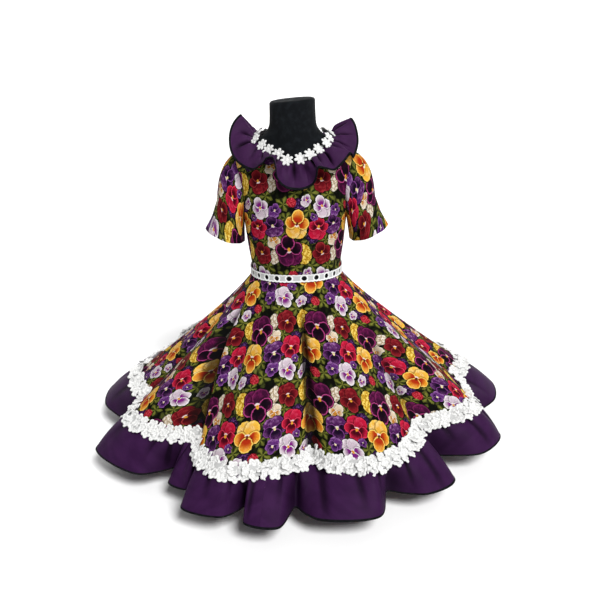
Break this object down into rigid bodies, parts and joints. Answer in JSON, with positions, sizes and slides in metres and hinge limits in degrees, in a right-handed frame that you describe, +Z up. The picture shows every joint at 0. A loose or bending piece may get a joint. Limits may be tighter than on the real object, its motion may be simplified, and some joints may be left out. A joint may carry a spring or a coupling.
{
  "type": "huasa dress on a limbless dress form with a stand",
  "caption": "Child's floral huasa dress with short flared sleeves, gathered collar, lace, wide round skirt and bound hem ruffle, on a limbless dress form and stand.",
  "frame": {"origin": "middle of the underside of the stand's round base, on the floor", "axes": "+Z up the pole, -Y towards the front of the dress, +X towards the dress's own left side"},
  "size_m": [0.936, 0.9585, 0.7319],
  "materials": {
    "printed_cotton": "woven cotton with a printed pansy pattern on black",
    "purple_satin": "smooth purple cloth with a soft sheen",
    "black_binding": "black bias binding",
    "white_lace": "white cotton lace",
    "black_ribbon": "black satin ribbon",
    "form_cover": "matte black stretch cover",
    "stand_paint": "satin black paint",
    "zip_tape": "dark woven tape",
    "zip_metal": "dark enamelled metal"
  },
  "bodies": {
    "dress": {"form_torso": "form_cover", "stand_base": "stand_paint", "stand_pole": "stand_paint", "bodice_front": "printed_cotton", "bodice_back_left": "printed_cotton", "bodice_back_right": "printed_cotton", "sleeve_left": "printed_cotton", "sleeve_right": "printed_cotton", "skirt_front": "printed_cotton", "skirt_back_left": "printed_cotton", "skirt_back_right": "printed_cotton", "ruffle_front_left": "purple_satin", "ruffle_front_right": "purple_satin", "ruffle_back_left": "purple_satin", "ruffle_back_right": "purple_satin", "hem_binding": "black_binding", "collar": "purple_satin", "collar_binding": "black_binding", "neck_lace": "white_lace", "hem_lace_front": "white_lace", "hem_lace_back": "white_lace", "waist_lace": "white_lace", "waist_ribbon": "black_ribbon", "zip_strip": "zip_tape", "zip_slider": "zip_metal"},
    "pull": {"zip_pull": "zip_metal"}
  },
  "joints": [
    {"name": "pull_swing", "type": "hinge", "parent": "dress", "child": "pull", "pos_m": [0, 0.07506, 0.63096], "axis": [1, 0, 0], "range_deg": [0, 60]}
  ]
}
